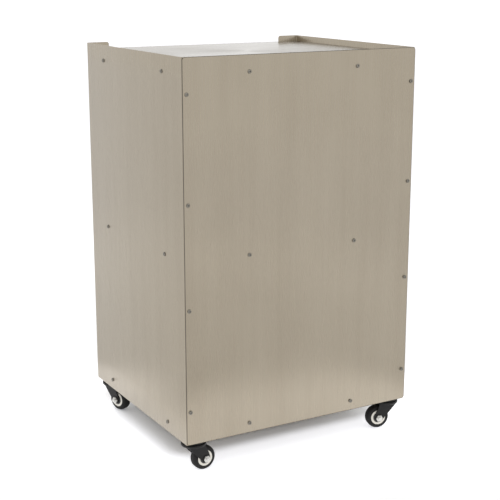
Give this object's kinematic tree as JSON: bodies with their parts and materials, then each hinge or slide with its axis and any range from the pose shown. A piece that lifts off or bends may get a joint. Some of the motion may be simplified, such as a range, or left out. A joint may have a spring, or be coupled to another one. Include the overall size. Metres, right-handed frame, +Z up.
{
  "type": "popcorn cart",
  "caption": "Stainless steel storage cabinet on swivel casters with a shallow tray top that carries a popping machine, a mid shelf and a hinged front door.",
  "frame": {"origin": "on the floor, under the middle of the whole object's box", "axes": "+Z up, the door faces -Y, the screwed back panel faces +Y, +X is the right side seen from the door"},
  "size_m": [0.524, 0.492, 0.818],
  "materials": {
    "brushed_stainless": "brushed vertically, satin, warm grey",
    "bright_steel": "bright zinc or nickel",
    "black_steel": "black, semi-gloss",
    "black_rubber": "matt black tread",
    "cream_plastic": "off-white, satin",
    "black_plastic": "black, satin"
  },
  "bodies": {
    "cabinet": {"back_panel": "brushed_stainless", "back_screw_left_edge_1": "bright_steel", "back_screw_left_edge_2": "bright_steel", "back_screw_left_edge_3": "bright_steel", "back_screw_left_edge_4": "bright_steel", "back_screw_left_inner_1": "bright_steel", "back_screw_left_inner_2": "bright_steel", "back_screw_left_inner_3": "bright_steel", "back_screw_right_edge_1": "bright_steel", "back_screw_right_edge_2": "bright_steel", "back_screw_right_edge_3": "bright_steel", "back_screw_right_edge_4": "bright_steel", "back_screw_right_inner_1": "bright_steel", "back_screw_right_inner_2": "bright_steel", "back_screw_right_inner_3": "bright_steel", "bottom_plate": "brushed_stainless", "caster_front_left_stem": "bright_steel", "caster_front_left_stem_nut": "bright_steel", "caster_front_right_stem": "bright_steel", "caster_front_right_stem_nut": "bright_steel", "caster_rear_left_stem": "bright_steel", "caster_rear_left_stem_nut": "bright_steel", "caster_rear_right_stem": "bright_steel", "caster_rear_right_stem_nut": "bright_steel", "hinge_lower_cabinet_leaf": "bright_steel", "hinge_lower_pin": "bright_steel", "hinge_upper_cabinet_leaf": "bright_steel", "hinge_upper_pin": "bright_steel", "magnetic_catch": "black_plastic", "mid_shelf": "brushed_stainless", "side_panel_left": "brushed_stainless", "side_panel_right": "brushed_stainless", "top_plate": "brushed_stainless"},
    "door": {"catch_strike_plate": "bright_steel", "door_handle": "bright_steel", "door_liner": "brushed_stainless", "door_skin": "brushed_stainless", "hinge_lower_door_leaf": "bright_steel", "hinge_upper_door_leaf": "bright_steel"},
    "caster_front_left_swivel": {"caster_front_left_axle_bolt": "bright_steel", "caster_front_left_axle_nut": "bright_steel", "caster_front_left_fork": "black_steel"},
    "caster_front_left_wheel": {"caster_front_left_tyre": "black_rubber", "caster_front_left_wheel_core": "cream_plastic"},
    "caster_front_right_swivel": {"caster_front_right_axle_bolt": "bright_steel", "caster_front_right_axle_nut": "bright_steel", "caster_front_right_fork": "black_steel"},
    "caster_front_right_wheel": {"caster_front_right_tyre": "black_rubber", "caster_front_right_wheel_core": "cream_plastic"},
    "caster_rear_left_swivel": {"caster_rear_left_axle_bolt": "bright_steel", "caster_rear_left_axle_nut": "bright_steel", "caster_rear_left_fork": "black_steel"},
    "caster_rear_left_wheel": {"caster_rear_left_tyre": "black_rubber", "caster_rear_left_wheel_core": "cream_plastic"},
    "caster_rear_right_swivel": {"caster_rear_right_axle_bolt": "bright_steel", "caster_rear_right_axle_nut": "bright_steel", "caster_rear_right_fork": "black_steel"},
    "caster_rear_right_wheel": {"caster_rear_right_tyre": "black_rubber", "caster_rear_right_wheel_core": "cream_plastic"}
  },
  "joints": [
    {"name": "door_hinge", "type": "hinge", "parent": "cabinet", "child": "door", "pos_m": [-0.21125, -0.2125, 0.43575], "axis": [0, 0, -1], "range_deg": [0, 170]},
    {"name": "caster_front_left_swivel_turn", "type": "hinge", "parent": "cabinet", "child": "caster_front_left_swivel", "pos_m": [-0.2345, -0.1812, 0.06], "axis": [0, 0, 1], "continuous": true},
    {"name": "caster_front_left_wheel_spin", "type": "hinge", "parent": "caster_front_left_swivel", "child": "caster_front_left_wheel", "pos_m": [-0.22246, -0.164, 0.025], "axis": [-0.8192, 0.5736, 0], "continuous": true},
    {"name": "caster_front_right_swivel_turn", "type": "hinge", "parent": "cabinet", "child": "caster_front_right_swivel", "pos_m": [0.2345, -0.1812, 0.06], "axis": [0, 0, 1], "continuous": true},
    {"name": "caster_front_right_wheel_spin", "type": "hinge", "parent": "caster_front_right_swivel", "child": "caster_front_right_wheel", "pos_m": [0.22801, -0.16123, 0.025], "axis": [-0.9511, -0.309, 0], "continuous": true},
    {"name": "caster_rear_left_swivel_turn", "type": "hinge", "parent": "cabinet", "child": "caster_rear_left_swivel", "pos_m": [-0.2345, 0.2158, 0.06], "axis": [0, 0, 1], "continuous": true},
    {"name": "caster_rear_left_wheel_spin", "type": "hinge", "parent": "caster_rear_left_swivel", "child": "caster_rear_left_wheel", "pos_m": [-0.21404, 0.21108, 0.025], "axis": [0.225, 0.9744, 0], "continuous": true},
    {"name": "caster_rear_right_swivel_turn", "type": "hinge", "parent": "cabinet", "child": "caster_rear_right_swivel", "pos_m": [0.2345, 0.2158, 0.06], "axis": [0, 0, 1], "continuous": true},
    {"name": "caster_rear_right_wheel_spin", "type": "hinge", "parent": "caster_rear_right_swivel", "child": "caster_rear_right_wheel", "pos_m": [0.21355, 0.21433, 0.025], "axis": [0.0698, -0.9976, 0], "continuous": true}
  ]
}
